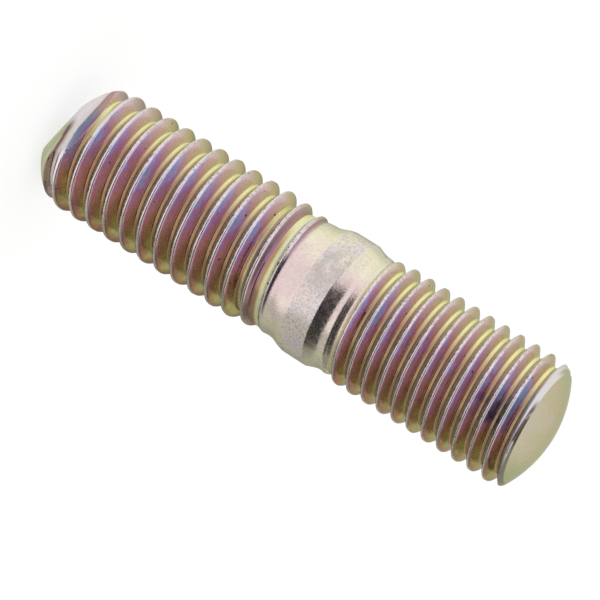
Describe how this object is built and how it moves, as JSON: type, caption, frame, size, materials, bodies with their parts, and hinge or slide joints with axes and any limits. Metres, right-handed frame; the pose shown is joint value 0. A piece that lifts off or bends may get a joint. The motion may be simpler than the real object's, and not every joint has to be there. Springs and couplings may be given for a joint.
{
  "type": "double-ended sprocket stud bolt",
  "caption": "Headless double-ended stud bolt: coarse right-hand thread on the pointed tap end, plain collared shank, fine thread on the domed nut end.",
  "frame": {"origin": "on the stud's axis, in the plane of the flat foot at the tip of the tap end", "axes": "+Z along the axis from the tap end up to the domed nut end; +X towards the side to which the foot lies off the axis"},
  "size_m": [0.0098, 0.0098, 0.0419],
  "materials": {
    "yellow_zinc_steel": "satin rolled steel with an iridescent yellow zinc passivation"
  },
  "bodies": {
    "root": {"stud": "yellow_zinc_steel"}
  },
  "joints": []
}
